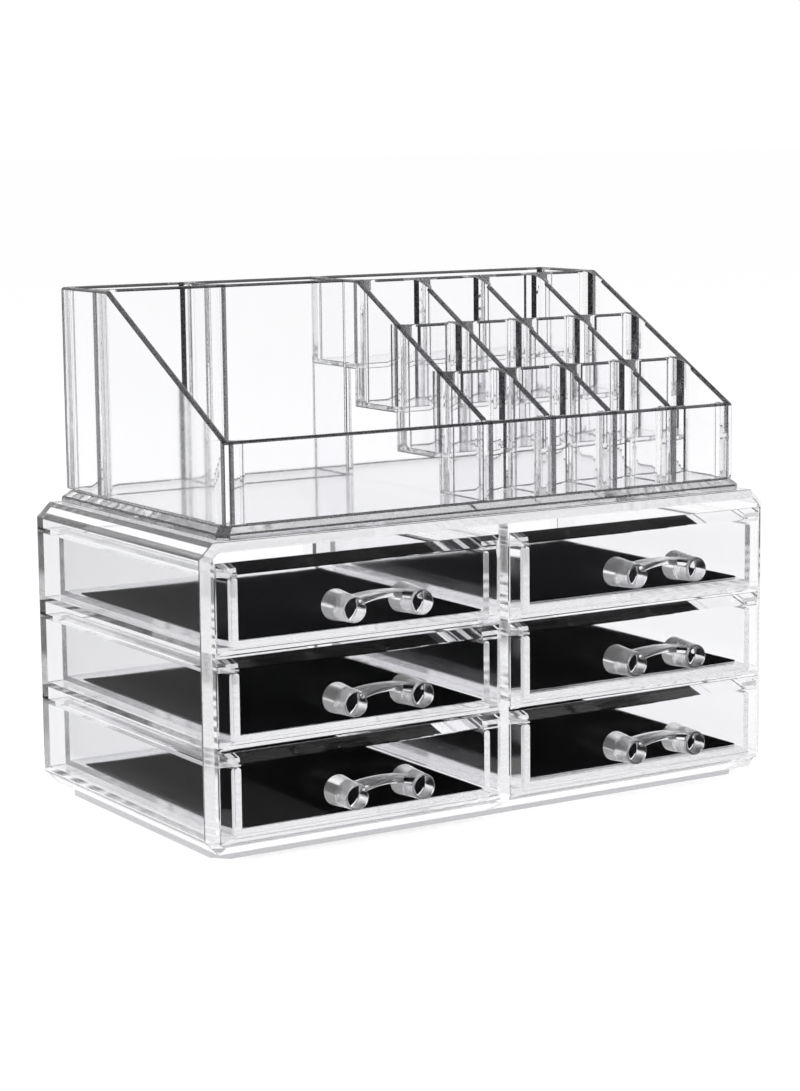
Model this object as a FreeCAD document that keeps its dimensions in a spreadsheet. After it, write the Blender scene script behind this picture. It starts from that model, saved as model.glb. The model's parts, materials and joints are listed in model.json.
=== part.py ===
"""Clear drawer organizer for make-up: a case with six drawers and a lift-off tray on top.

Units are millimetres. X runs to the right, -Y is the front, +Z is up, and the origin is the
middle of the underside. Every size is a named cell of the Sizes sheet.
"""
import math
import os

import FreeCAD
import Part

SIZES = [
    # Case: a chamfered sleeve with a closed back, standing on an inset plinth.
    ("case_width", 239.0),
    ("case_depth", 130.0),
    ("case_height", 106.2),
    ("case_chamfer", 5.2),
    ("case_bevel", 2.8),
    ("side_wall", 4.0),
    ("top_wall", 3.0),
    ("back_wall", 2.4),
    ("inner_chamfer", 2.0),
    ("plinth_height", 3.0),
    ("plinth_inset", 6.5),
    ("divider_wall", 4.0),
    # Tiers: shelves that carry the drawers and rails that hold them down.
    ("under_shelf", 2.2),
    ("over_tiers", 1.7),
    ("shelf_wall", 2.0),
    ("rail_height", 1.9),
    ("rail_drop", 8.5),
    ("rail_hold", 2.5),
    # Drawers: an overlaid front with a bevelled rim and an open box behind it.
    ("front_side_gap", 0.25),
    ("front_gap", 0.8),
    ("front_drop", 2.9),
    ("front_land", 0.8),
    ("front_bevel", 3.4),
    ("box_side", 5.45),
    ("box_back_gap", 1.2),
    ("box_wall", 2.4),
    ("box_floor", 1.8),
    ("rail_gap", 0.4),
    ("air", 0.2),
    ("liner_thick", 0.8),
    ("liner_margin", 0.6),
    ("liner_back", 6.0),
    # Pulls: two tapered posts joined by a bow.
    ("post_spacing", 26.6),
    ("post_length", 14.0),
    ("post_foot", 5.4),
    ("post_tip", 4.5),
    ("post_rim", 0.6),
    ("post_low", 1.6),
    ("bow_depth", 8.6),
    ("bow_setback", 0.8),
    ("bow_low_end", 0.8),
    ("bow_low_rise", 3.0),
    ("bow_high_end", 3.6),
    ("bow_high_rise", 1.3),
    # Tray: sloped side walls, a back row of bays and a stepped rack for lipsticks.
    ("tray_side", 12.0),
    ("tray_front", 6.0),
    ("tray_back", 1.2),
    ("tray_wall", 2.2),
    ("base_height", 4.4),
    ("base_flange", 3.4),
    ("base_front", 3.2),
    ("base_bevel", 2.6),
    ("tray_height", 78.8),
    ("front_wall_height", 32.6),
    ("slope_start", 37.3),
    ("bay_depth", 24.1),
    ("bay_divider", 49.3),
    ("rack_left", 3.4),
    ("rack_back", 35.1),
    ("step_height", 14.3),
    ("floor_wall", 2.0),
]

# Sizes that follow from the ones above, so that the drawers and the tray always fit the case.
TIER = "((case_height - 2 * top_wall - under_shelf - over_tiers) / 3)"
FIRST_SHELF = "(plinth_height + top_wall + under_shelf)"
RAIL_LIFT = "(%s - rail_drop)" % TIER
BAY = "(case_width / 2 - side_wall - divider_wall / 2)"
MIDDLE = "(divider_wall / 2 + %s / 2)" % BAY
FRONT_WIDTH = "(%s - 2 * front_side_gap)" % BAY
FRONT_HEIGHT = "(%s - front_gap)" % TIER
BOX_WIDTH = "(%s - 2 * box_side)" % BAY
BOX_HEIGHT = "(%s - air - rail_gap)" % RAIL_LIFT
BOX_DEPTH = "(case_depth - back_wall - box_back_gap)"
RAIL_WIDTH = "(box_side + rail_hold)"
TRAY_WIDTH = "(case_width - 2 * tray_side)"

TIERS = ["top", "middle", "bottom"]
COLUMNS = [("left", -1), ("right", 1)]

doc = FreeCAD.newDocument("organizer")
sheet = doc.addObject("Spreadsheet::Sheet", "Sizes")
for row, (alias, value) in enumerate(SIZES, start=1):
    sheet.set("A%d" % row, alias)
    sheet.set("B%d" % row, "%g" % value)
    sheet.setAlias("B%d" % row, alias)
doc.recompute()

made = []
SIZE = dict(SIZES)


def bind(text):
    """Puts the sheet's name before every size that an expression uses."""
    names = sorted((alias for alias, value in SIZES), key=len, reverse=True)
    words = []
    word = ""
    for mark in text + " ":
        if mark.isalnum() or mark == "_":
            word += mark
            continue
        words.append("Sizes." + word if word in names else word)
        words.append(mark)
        word = ""
    return "".join(words).strip()


def keep(thing, label):
    thing.Label = label
    made.append(thing)
    return thing


def plate(label, x, y, z, length, width, height, kept=True):
    """A flat plate from its low corner and its three sizes, all written as expressions."""
    box = doc.addObject("Part::Box", label)
    box.setExpression("Placement.Base.x", bind(x))
    box.setExpression("Placement.Base.y", bind(y))
    box.setExpression("Placement.Base.z", bind(z))
    box.setExpression("Length", bind(length))
    box.setExpression("Width", bind(width))
    box.setExpression("Height", bind(height))
    if kept:
        keep(box, label)
    return box


def plane_of(body, role):
    for feature in body.Origin.OriginFeatures:
        if feature.Role == role:
            return feature
    raise ValueError(role)


def outline(body, name, role, offset, points):
    """A closed outline whose corners are each held by two named distances."""
    sketch = body.newObject("Sketcher::SketchObject", name)
    sketch.AttachmentSupport = (plane_of(body, role), [""])
    sketch.MapMode = "FlatFace"
    sketch.setExpression("AttachmentOffset.Base.z", bind(offset))
    add_loop(sketch, points)
    return sketch


def add_loop(sketch, points):
    import Sketcher
    first = sketch.GeometryCount
    count = len(points)
    ring = []
    for i in range(count):
        turn = 2.0 * math.pi * i / count
        ring.append(FreeCAD.Vector(math.cos(turn), math.sin(turn), 0.0) * SIZE["case_bevel"])
    for i in range(count):
        sketch.addGeometry(Part.LineSegment(ring[i], ring[(i + 1) % count]), False)
    for i in range(count):
        after = first + (i + 1) % count
        sketch.addConstraint(Sketcher.Constraint("Coincident", first + i, 2, after, 1))
    for i, (across, up) in enumerate(points):
        for kind, text in (("DistanceX", across), ("DistanceY", up)):
            number = sketch.addConstraint(Sketcher.Constraint(kind, -1, 1, first + i, 1, 1.0))
            sketch.setExpression("Constraints[%d]" % number, bind(text))


def pad(body, name, sketch, length, reverse=False):
    feature = body.newObject("PartDesign::Pad", name)
    feature.Profile = sketch
    feature.setExpression("Length", bind(length))
    feature.Reversed = reverse
    return feature


def pocket(body, name, sketch, length, reverse=False):
    feature = body.newObject("PartDesign::Pocket", name)
    feature.Profile = sketch
    feature.setExpression("Length", bind(length))
    feature.Reversed = reverse
    return feature


def loft(body, name, near, far):
    feature = body.newObject("PartDesign::AdditiveLoft", name)
    feature.Profile = near
    feature.Sections = [far]
    feature.Ruled = True
    return feature


def rectangle(half, low, high):
    return [("-(%s)" % half, low), (half, low), (half, high), ("-(%s)" % half, high)]


def cut_corners(half, low, high, cut):
    """A rectangle with its four corners cut off at 45 degrees."""
    return [
        ("-(%s) + %s" % (half, cut), low),
        ("%s - %s" % (half, cut), low),
        (half, "%s + %s" % (low, cut)),
        (half, "%s - %s" % (high, cut)),
        ("%s - %s" % (half, cut), high),
        ("-(%s) + %s" % (half, cut), high),
        ("-(%s)" % half, "%s - %s" % (high, cut)),
        ("-(%s)" % half, "%s + %s" % (low, cut)),
    ]


def make_case():
    """The sleeve with its back, the plinth, the divider, the shelves and the rails."""
    low = "plinth_height"
    high = "plinth_height + case_height"
    half = "case_width / 2"
    front = "case_depth / 2"
    body = doc.addObject("PartDesign::Body", "case_shell")
    outer = cut_corners(half, low, high, "case_chamfer")
    rim = cut_corners(half + " - case_bevel", low + " + case_bevel", high + " - case_bevel",
                      "(case_chamfer - (2 - sqrt(2)) * case_bevel)")
    hollow = cut_corners(half + " - side_wall", low + " + top_wall", high + " - top_wall",
                         "min(inner_chamfer; under_shelf)")
    sleeve = outline(body, "shell_outline", "XZ_Plane", front + " - case_bevel", outer)
    pad(body, "shell_sleeve", sleeve, "case_depth - case_bevel", True)
    near = outline(body, "shell_bevel_back", "XZ_Plane", front + " - case_bevel", outer)
    far = outline(body, "shell_bevel_front", "XZ_Plane", front, rim)
    loft(body, "shell_bevel", near, far)
    inside = outline(body, "shell_hollow_outline", "XZ_Plane", front, hollow)
    pocket(body, "shell_hollow", inside, "case_depth - back_wall")
    keep(body, "case_shell")

    plinth = doc.addObject("PartDesign::Body", "case_plinth")
    across = half + " - plinth_inset"
    deep = "case_depth / 2 - plinth_inset"
    sole = cut_corners(across, "-(%s)" % deep, deep, "case_chamfer")
    pad(plinth, "plinth_slab", outline(plinth, "plinth_outline", "XY_Plane", "0", sole), "plinth_height")
    keep(plinth, "case_plinth")

    plate("case_divider", "-divider_wall / 2", "-case_depth / 2", "plinth_height + top_wall",
          "divider_wall", "case_depth - back_wall", "case_height - 2 * top_wall")
    for column, side in COLUMNS:
        start = "divider_wall / 2" if side > 0 else "-(case_width / 2 - side_wall)"
        for tier, name in enumerate(TIERS):
            height = "%s + %d * %s" % (FIRST_SHELF, 2 - tier, TIER)
            plate("shelf_%s_%s" % (name, column), start, "-case_depth / 2", height,
                  BAY, "case_depth - back_wall", "shelf_wall")
        rails = []
        for tier in range(3):
            height = "%s + shelf_wall + %s + %d * %s" % (FIRST_SHELF, RAIL_LIFT, tier, TIER)
            spots = ["divider_wall / 2", "case_width / 2 - side_wall - " + RAIL_WIDTH]
            if side < 0:
                spots = ["-(divider_wall / 2 + %s)" % RAIL_WIDTH, "-(case_width / 2 - side_wall)"]
            for number, spot in enumerate(spots):
                label = "rail_%s_%d_%d" % (column, tier, number)
                rails.append(plate(label, spot, "-case_depth / 2", height, RAIL_WIDTH,
                                   "case_depth - back_wall", "rail_height", False))
        group = doc.addObject("Part::Compound", "guide_rails_" + column)
        group.Links = rails
        keep(group, "guide_rails_" + column)


def make_drawer(tier, name, column, side):
    """One drawer: its box with the bevelled front, its liner and its pull."""
    shelf = "%s + shelf_wall + %d * %s" % (FIRST_SHELF, 2 - tier, TIER)
    middle = "%d * %s" % (side, MIDDLE)
    label = "drawer_%s_%s" % (name, column)

    box = doc.addObject("PartDesign::Body", label)
    back = "case_depth / 2 + air"
    low = "-front_drop"
    high = FRONT_HEIGHT + " - front_drop"
    full = rectangle(FRONT_WIDTH + " / 2", low, high)
    flat = rectangle(FRONT_WIDTH + " / 2 - front_bevel", low + " + front_bevel", high + " - front_bevel")
    pad(box, "land", outline(box, "land_outline", "XZ_Plane", back, full), "front_land")
    near = outline(box, "bevel_back", "XZ_Plane", back + " + front_land", full)
    far = outline(box, "bevel_front", "XZ_Plane", back + " + front_land + front_bevel", flat)
    loft(box, "bevel", near, far)
    sides = rectangle(BOX_WIDTH + " / 2", "air", "air + " + BOX_HEIGHT)
    pad(box, "box_block", outline(box, "box_outline", "XZ_Plane", back, sides), BOX_DEPTH, True)
    rear = "-(%s) + %s - box_wall" % (back, BOX_DEPTH)
    hollow = rectangle(BOX_WIDTH + " / 2 - box_wall", "-(%s)" % back, rear)
    space = outline(box, "box_space", "XY_Plane", "air + " + BOX_HEIGHT, hollow)
    pocket(box, "box_hollow", space, BOX_HEIGHT + " - box_floor")
    keep(box, label)

    inside = BOX_WIDTH + " / 2 - box_wall - liner_margin"
    liner = plate("liner_%s_%s" % (name, column), "%s - (%s)" % (middle, inside),
                  "-(%s) + liner_margin" % back, "%s + air + box_floor" % shelf, "2 * (%s)" % inside,
                  BOX_DEPTH + " - box_wall - liner_margin - liner_back", "liner_thick")
    pull = make_pull("pull_%s_%s" % (name, column))
    face = "-(%s + front_land + front_bevel)" % back
    rise = "%s + %s / 2 - front_drop - post_low" % (shelf, FRONT_HEIGHT)
    for thing, y, z in ((box, "0", shelf), (pull, face, rise)):
        thing.setExpression("Placement.Base.x", bind(middle))
        thing.setExpression("Placement.Base.y", bind(y))
        thing.setExpression("Placement.Base.z", bind(z))
    return box, liner, pull


def make_pull(label):
    """A clear pull: two round tapered posts joined by an arched bow."""
    import Sketcher
    body = doc.addObject("PartDesign::Body", label)
    profile = [
        ("0", "-air / 4"),
        ("post_foot", "-air / 4"),
        ("post_tip", "-post_length + post_rim"),
        ("post_tip - post_rim", "-post_length"),
        ("0", "-post_length"),
    ]
    for name, sign in (("left", -1), ("right", 1)):
        sketch = outline(body, name + "_post_profile", "XY_Plane", "0", profile)
        sketch.setExpression("AttachmentOffset.Base.x", bind("%d * post_spacing / 2" % sign))
        turned = body.newObject("PartDesign::Revolution", name + "_post")
        turned.Profile = sketch
        turned.ReferenceAxis = (sketch, ["V_Axis"])
        turned.Angle = 360.0
        if name == "right":
            break
        bow = body.newObject("Sketcher::SketchObject", "bow_outline")
        bow.AttachmentSupport = (plane_of(body, "XZ_Plane"), [""])
        bow.MapMode = "FlatFace"
        bow.setExpression("AttachmentOffset.Base.z", bind("post_length - bow_setback - bow_depth"))
        reach = SIZE["post_spacing"] / 2
        ends = (-SIZE["bow_low_end"], SIZE["bow_high_end"])
        for end, rise in zip(ends, (SIZE["bow_low_rise"], SIZE["bow_high_rise"])):
            crown = FreeCAD.Vector(0, end + rise, 0)
            arc = Part.Arc(FreeCAD.Vector(reach, end, 0), crown, FreeCAD.Vector(-reach, end, 0))
            bow.addGeometry(arc, False)
        for x in (-reach, reach):
            foot, head = (FreeCAD.Vector(x, end, 0) for end in ends)
            bow.addGeometry(Part.LineSegment(foot, head), False)
        for one, end, two, start in ((0, 2, 2, 1), (0, 1, 3, 1), (1, 2, 2, 2), (1, 1, 3, 2)):
            bow.addConstraint(Sketcher.Constraint("Coincident", one, end, two, start))
        for arc in (0, 1):
            bow.addConstraint(Sketcher.Constraint("PointOnObject", arc, 3, -2))
        rules = [
            ("DistanceX", (-1, 1, 2, 1), -reach, "-post_spacing / 2"),
            ("DistanceX", (-1, 1, 2, 2), -reach, "-post_spacing / 2"),
            ("DistanceX", (-1, 1, 3, 1), reach, "post_spacing / 2"),
            ("DistanceX", (-1, 1, 3, 2), reach, "post_spacing / 2"),
            ("DistanceY", (-1, 1, 2, 1), ends[0], "-bow_low_end"),
            ("DistanceY", (-1, 1, 2, 2), ends[1], "bow_high_end"),
        ]
        for arc, name_of_rise in ((0, "bow_low_rise"), (1, "bow_high_rise")):
            rise = SIZE[name_of_rise]
            round_of = "((post_spacing / 2) ^ 2 + %s ^ 2) / (2 * %s)" % (name_of_rise, name_of_rise)
            rules.append(("Radius", (arc,), (reach ** 2 + rise ** 2) / (2 * rise), round_of))
        for kind, spots, value, text in rules:
            number = bow.addConstraint(Sketcher.Constraint(kind, *spots, value))
            bow.setExpression("Constraints[%d]" % number, bind(text))
        pad(body, "bow", bow, "bow_depth")
    return keep(body, label)


def wall_profile(label, x, wall, points):
    """A wall in the YZ plane, padded to the right from x."""
    body = doc.addObject("PartDesign::Body", label)
    sketch = outline(body, label + "_outline", "YZ_Plane", x, points)
    pad(body, label + "_pad", sketch, wall)
    return keep(body, label)


def make_tray():
    """The lift-off tray: base, outer walls, back bays and the stepped lipstick rack."""
    deck = "plinth_height + case_height + air"
    floor = "(%s + base_height)" % deck
    top = "(%s + tray_height)" % deck
    lip = "(%s + front_wall_height)" % deck
    front = "(-case_depth / 2 + tray_front)"
    back = "(case_depth / 2 - tray_back)"
    half = TRAY_WIDTH + " / 2"
    ridge = "(case_depth / 2 - tray_back - slope_start)"
    fall = "((tray_height - front_wall_height) / (%s - %s))" % (ridge, front)

    base = doc.addObject("PartDesign::Body", "tray_base")
    near_edge = "-case_depth / 2 + base_front"
    far_edge = "case_depth / 2 - air"
    wide = cut_corners(half + " + base_flange", near_edge, far_edge, "base_flange")
    slim = cut_corners(half + " + base_flange - base_bevel", near_edge + " + base_bevel",
                       far_edge + " - base_bevel", "base_flange")
    foot = outline(base, "base_outline", "XY_Plane", deck, wide)
    pad(base, "base_slab", foot, "base_height - base_bevel")
    near = outline(base, "base_bevel_low", "XY_Plane", "%s - base_bevel" % floor, wide)
    far = outline(base, "base_bevel_high", "XY_Plane", floor, slim)
    loft(base, "base_rim", near, far)
    keep(base, "tray_base")

    side = [(front, floor), (back, floor), (back, top), (ridge, top), (front, lip)]
    wall_profile("tray_left_wall", "-(%s)" % half, "tray_wall", side)
    wall_profile("tray_right_wall", half + " - tray_wall", "tray_wall", side)
    inner = TRAY_WIDTH + " - 2 * tray_wall"
    left = "-(%s) + tray_wall" % half
    plate("tray_back_wall", left, back + " - tray_wall", floor, inner, "tray_wall",
          "tray_height - base_height")
    plate("tray_front_wall", left, front, floor, inner, "tray_wall", "front_wall_height - base_height")

    rack = "(-rack_left)"
    bay = "(%s - tray_wall - bay_depth - tray_wall)" % back
    plate("bay_partition", left, bay, floor, "%s - (%s)" % (rack, left), "tray_wall",
          "tray_height - base_height")
    plate("bay_divider", left + " + bay_divider - tray_wall", bay + " + tray_wall", floor,
          "tray_wall", "bay_depth", "tray_height - base_height")

    # The rack: stepped walls along Y, row walls along X and the floors between the steps.
    high_row = "(%s - rack_back)" % back
    row_pitch = "((%s - %s - tray_wall) / 3)" % (high_row, front)
    rows = ["(%s - %d * %s)" % (high_row, i, row_pitch) for i in range(3)]
    decks = ["(%s + %d * step_height)" % (floor, i) for i in range(4)]
    inside = front + " + tray_wall"

    def slope(y):
        return "(%s + %s * (%s - %s))" % (lip, fall, y, front)

    steps = [
        (inside, slope(inside)),
        (inside, decks[0]),
        (rows[2], decks[0]),
        (rows[2], decks[1] + " - floor_wall"),
        (rows[1], decks[1] + " - floor_wall"),
        (rows[1], decks[2] + " - floor_wall"),
        (rows[0], decks[2] + " - floor_wall"),
        (rows[0], decks[3] + " - floor_wall"),
        (bay, decks[3] + " - floor_wall"),
        (bay, decks[0]),
        (back + " - tray_wall", decks[0]),
        (back + " - tray_wall", top),
        (ridge, top),
    ]
    wall_profile("rack_left_wall", rack, "tray_wall", steps)
    start = rack + " + tray_wall"
    span = "%s - tray_wall - (%s)" % (half, start)
    pitch = "((%s + tray_wall) / 4)" % span
    for number in range(3):
        x = "%s + %d * %s - tray_wall" % (start, number + 1, pitch)
        comb = [
            (inside, slope(inside)),
            (inside, decks[0]),
            (rows[2], decks[0]),
            (rows[2], decks[1]),
            (rows[1], decks[1]),
            (rows[1], decks[2]),
            (rows[0] + " - tray_wall", decks[2]),
            (rows[0] + " - tray_wall", slope(rows[0] + " - tray_wall")),
        ]
        wall_profile("rack_divider_%d" % (number + 1), x, "tray_wall", comb)
    plate("rack_back_wall", start, rows[0] + " - tray_wall", decks[2], span, "tray_wall",
          "%s - %s" % (slope(rows[0] + " - tray_wall"), decks[2]))
    for number, name in ((1, "rear"), (2, "front")):
        bottom = decks[2 - number]
        head = slope(rows[number] + " - tray_wall")
        whole = plate("row_%s_whole" % name, start, rows[number] + " - tray_wall", bottom, span, "tray_wall",
                      "%s - %s" % (head, bottom), False)
        slots = []
        for slot in range(3):
            x = "%s + %d * %s - tray_wall" % (start, slot + 1, pitch)
            slots.append(plate("row_%s_slot_%d" % (name, slot), x, rows[number] + " - 2 * tray_wall",
                               bottom + " - air", "tray_wall", "3 * tray_wall",
                               "%s - %s + 2 * air" % (head, bottom), False))
        tool = doc.addObject("Part::Compound", "row_%s_slots" % name)
        tool.Links = slots
        wall = doc.addObject("Part::Cut", "rack_row_" + name)
        wall.Base = whole
        wall.Tool = tool
        keep(wall, "rack_row_" + name)
    rear = back + " - tray_wall"
    floors = [("middle", rows[2], rows[1]), ("rear", rows[1], rows[0]), ("high", rows[0], rear)]
    for step, (name, near, far) in enumerate(floors, start=1):
        plate("rack_floor_" + name, start, near, decks[step] + " - floor_wall", span,
              "%s - %s" % (far, near), "floor_wall")


make_case()
for tier, name in enumerate(TIERS):
    for column, side in COLUMNS:
        make_drawer(tier, name, column, side)
make_tray()
doc.recompute()

os.makedirs("parts", exist_ok=True)
for thing in doc.Objects:
    if "Invalid" in thing.State or "Error" in thing.State:
        raise RuntimeError("%s did not build" % thing.Label)
for thing in made:
    shape = thing.Shape
    if shape.isNull() or not shape.isValid():
        raise RuntimeError("%s has no valid shape" % thing.Label)
    shape.exportStep("parts/%s.step" % thing.Label)
    print("%-22s %8.1f mm3  solids %d  %s" % (thing.Label, shape.Volume, len(shape.Solids), shape.BoundBox))
print("pieces", len(made))
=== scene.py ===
# %% [markdown]
# A clear drawer organizer for make-up: a case with six drawers, and a loose tray on top of it. All of
# it is moulded in clear acrylic, so nearly everything that the eye gets is refraction. A flat wall
# lets the background through, and an edge bends the view somewhere else and reads as a grey line.
# The solids of the part are loaded first. Every piece below is built around them, in metres and in
# the same frame, so that nothing has to be fitted later.

# %% Load the solids
import json
import math

import bmesh
import bpy
from mathutils import Matrix, Vector, noise

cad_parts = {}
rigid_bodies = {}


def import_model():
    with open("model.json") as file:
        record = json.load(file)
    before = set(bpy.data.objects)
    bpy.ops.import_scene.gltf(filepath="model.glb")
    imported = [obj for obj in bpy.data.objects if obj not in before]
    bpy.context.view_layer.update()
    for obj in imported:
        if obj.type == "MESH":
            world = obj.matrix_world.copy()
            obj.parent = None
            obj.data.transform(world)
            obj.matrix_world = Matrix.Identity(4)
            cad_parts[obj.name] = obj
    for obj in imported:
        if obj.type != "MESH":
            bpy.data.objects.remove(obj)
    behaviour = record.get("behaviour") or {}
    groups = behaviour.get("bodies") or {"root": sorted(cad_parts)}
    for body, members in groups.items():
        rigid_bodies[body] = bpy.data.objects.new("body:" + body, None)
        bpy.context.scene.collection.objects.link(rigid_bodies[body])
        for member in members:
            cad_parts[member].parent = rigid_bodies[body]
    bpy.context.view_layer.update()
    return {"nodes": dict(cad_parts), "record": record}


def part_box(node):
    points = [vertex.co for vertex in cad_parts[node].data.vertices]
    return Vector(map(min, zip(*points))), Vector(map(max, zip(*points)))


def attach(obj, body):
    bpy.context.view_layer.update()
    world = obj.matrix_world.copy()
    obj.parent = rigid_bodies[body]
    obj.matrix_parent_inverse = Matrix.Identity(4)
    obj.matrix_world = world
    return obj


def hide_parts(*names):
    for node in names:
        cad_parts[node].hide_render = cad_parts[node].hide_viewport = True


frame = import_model()
nodes = frame["nodes"]
bodies = frame["record"]["behaviour"]["bodies"]
drawer_tags = [body[len("drawer_body_"):] for body in bodies if body.startswith("drawer_body_")]
MM = 0.001
scene = bpy.context.scene

# %% [markdown]
# Finishes come before shapes, because each piece takes its material as it is made. Acrylic that has
# been handled carries hairline scratches and a faint haze of finger marks. They could be painted as
# an image, but an image has one scale and needs a UV map. Stretched noise on Object coordinates has
# neither limit. Two materials need the marks, so they are a node group with named inputs.

# %% Node helpers


def new_group(name, inputs, outputs):
    group = bpy.data.node_groups.new(name, "ShaderNodeTree")
    for label, value in inputs:
        socket = group.interface.new_socket(label, in_out="INPUT", socket_type="NodeSocketFloat")
        socket.default_value = value
    for label in outputs:
        group.interface.new_socket(label, in_out="OUTPUT", socket_type="NodeSocketFloat")
    return group, group.nodes.new("NodeGroupInput"), group.nodes.new("NodeGroupOutput")


def math_node(tree, operation, first, second):
    node = tree.nodes.new("ShaderNodeMath")
    node.operation = operation
    for place, value in ((0, first), (1, second)):
        if isinstance(value, (int, float)):
            node.inputs[place].default_value = value
        else:
            tree.links.new(value, node.inputs[place])
    return node.outputs[0]


def noise_on_object(tree, scale, stretch, turn, detail=4.0):
    coordinates = tree.nodes.new("ShaderNodeTexCoord")
    mapping = tree.nodes.new("ShaderNodeMapping")
    mapping.inputs["Rotation"].default_value = turn
    mapping.inputs["Scale"].default_value = stretch
    texture = tree.nodes.new("ShaderNodeTexNoise")
    texture.inputs["Scale"].default_value = scale
    texture.inputs["Detail"].default_value = detail
    tree.links.new(coordinates.outputs["Object"], mapping.inputs["Vector"])
    tree.links.new(mapping.outputs["Vector"], texture.inputs["Vector"])
    return texture.outputs["Fac"]


def above(tree, value, level):
    """What is left of a value above a level, and nothing below it."""
    return math_node(tree, "MAXIMUM", math_node(tree, "SUBTRACT", value, level), 0.0)


print("node helpers ready")

# %% [markdown]
# The marks have two parts. Smears are a slow noise cut off at a level, which leaves separate patches.
# Hairlines are the same noise squeezed hard along one axis, in two directions that cross. The group
# gives a roughness, which scatters the light a little, and a height for a shallow bump.

# %% Handling marks
EVEN = (1.0, 1.0, 1.0)
marks, marks_in, marks_out = new_group(
    "handling_marks", [("Grain", 0.0), ("Haze", 0.02), ("Scratches", 0.02)], ["Roughness", "Height"])
smear_noise = noise_on_object(marks, scale=35.0, stretch=EVEN, turn=(0.3, 0.2, 0.5))
hair_noise = noise_on_object(marks, scale=60.0, stretch=(1.0, 34.0, 12.0), turn=(0.5, 0.4, 0.9))
cross_noise = noise_on_object(marks, scale=70.0, stretch=(30.0, 1.0, 16.0), turn=(-0.6, 0.3, 0.2))
smears = above(marks, smear_noise, level=0.55)
hairs = math_node(marks, "ADD", above(marks, hair_noise, level=0.72), above(marks, cross_noise, level=0.74))
grain = noise_on_object(marks, scale=900.0, stretch=EVEN, turn=(0.0, 0.0, 0.0), detail=2.0)
worn = math_node(marks, "ADD", math_node(marks, "MULTIPLY", smears, marks_in.outputs["Haze"]),
                 math_node(marks, "MULTIPLY", hairs, marks_in.outputs["Scratches"]))
worn = math_node(marks, "ADD", worn, math_node(marks, "MULTIPLY", grain, marks_in.outputs["Grain"]))
marks.links.new(worn, marks_out.inputs["Roughness"])
marks.links.new(hairs, marks_out.inputs["Height"])
print("group", marks.name, "nodes", len(marks.nodes))

# %% [markdown]
# Clear acrylic bends light a little less than window glass does, with an index of 1.49. A Glass shader
# would do it, but the Principled shader with full transmission does the same and also survives the
# export. Its Specular Tint holds the plain mirror image on flat walls back, so that the black liners
# stay black behind two walls. Lamps have to reach the drawers' floors, and a path tracer takes glass
# for opaque when it looks for a lamp, so shadow rays meet a Transparent shader instead. A weak absorption
# in the volume does nothing to a thin wall, but greys the light that runs a long way inside a plate.

# %% Clear acrylic
ACRYLIC_INDEX = 1.49
SCRATCH_STRENGTH, SCRATCH_DEPTH = 0.02, 0.0002
SHADOW_TINT = (0.93, 0.93, 0.94, 1.0)
INNER_GREY, INNER_DENSITY = (0.5, 0.5, 0.52, 1.0), 2.0


def clear_plastic(name, tint, mirror, grain_level, haze, scratches, clearness=1.0):
    material = bpy.data.materials.new(name)
    material.use_nodes = True
    tree = material.node_tree
    shader = tree.nodes["Principled BSDF"]
    shader.inputs["Base Color"].default_value = (*tint, 1.0)
    shader.inputs["Transmission Weight"].default_value = clearness
    shader.inputs["IOR"].default_value = ACRYLIC_INDEX
    shader.inputs["Specular Tint"].default_value = (mirror, mirror, mirror, 1.0)
    worn_surface = tree.nodes.new("ShaderNodeGroup")
    worn_surface.node_tree = marks
    worn_surface.inputs["Grain"].default_value = grain_level
    worn_surface.inputs["Haze"].default_value = haze
    worn_surface.inputs["Scratches"].default_value = scratches
    tree.links.new(worn_surface.outputs["Roughness"], shader.inputs["Roughness"])
    bump = tree.nodes.new("ShaderNodeBump")
    bump.inputs["Strength"].default_value = SCRATCH_STRENGTH
    bump.inputs["Distance"].default_value = SCRATCH_DEPTH
    tree.links.new(worn_surface.outputs["Height"], bump.inputs["Height"])
    tree.links.new(bump.outputs["Normal"], shader.inputs["Normal"])
    through = tree.nodes.new("ShaderNodeBsdfTransparent")
    through.inputs["Color"].default_value = SHADOW_TINT
    path = tree.nodes.new("ShaderNodeLightPath")
    mix = tree.nodes.new("ShaderNodeMixShader")
    tree.links.new(path.outputs["Is Shadow Ray"], mix.inputs[0])
    tree.links.new(shader.outputs["BSDF"], mix.inputs[1])
    tree.links.new(through.outputs["BSDF"], mix.inputs[2])
    tree.links.new(mix.outputs[0], tree.nodes["Material Output"].inputs["Surface"])
    depth = tree.nodes.new("ShaderNodeVolumeAbsorption")
    depth.inputs["Color"].default_value = INNER_GREY
    depth.inputs["Density"].default_value = INNER_DENSITY
    tree.links.new(depth.outputs["Volume"], tree.nodes["Material Output"].inputs["Volume"])
    return material


acrylic = clear_plastic("clear_acrylic", (0.985, 0.985, 0.992),
                        mirror=0.08, grain_level=0.08, haze=0.05, scratches=0.12)
print("material", acrylic.name)

# %% [markdown]
# Where a wall ends, the eye looks along the sheet instead of through it, and the bent view shows that rim
# as a dark line. A rim also leaves the mould less smooth than a face. So the rims get the same shader with
# a fine grain and a dark grey tint, which is painted shade for that line. Thick spots, such as the foot,
# get a lighter grey tint, also painted shade, and keep their polish.

# %% Acrylic rims with painted shade
# Painted shade: a dark grey tint on the rims and a lighter grey tint on the thick spots.
painted_shade_rim_acrylic = clear_plastic("clear_acrylic_rim", (0.06, 0.06, 0.065),
                            mirror=0.3, grain_level=0.5, haze=0.2, scratches=0.3)
painted_mid_shade_acrylic = clear_plastic("clear_acrylic_thick", (0.3, 0.3, 0.315),
                              mirror=0.15, grain_level=0.08, haze=0.1, scratches=0.2)
FACE, SHADED_RIM, MID_SHADE = 0, 1, 2
print("materials", painted_shade_rim_acrylic.name, painted_mid_shade_acrylic.name)

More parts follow.
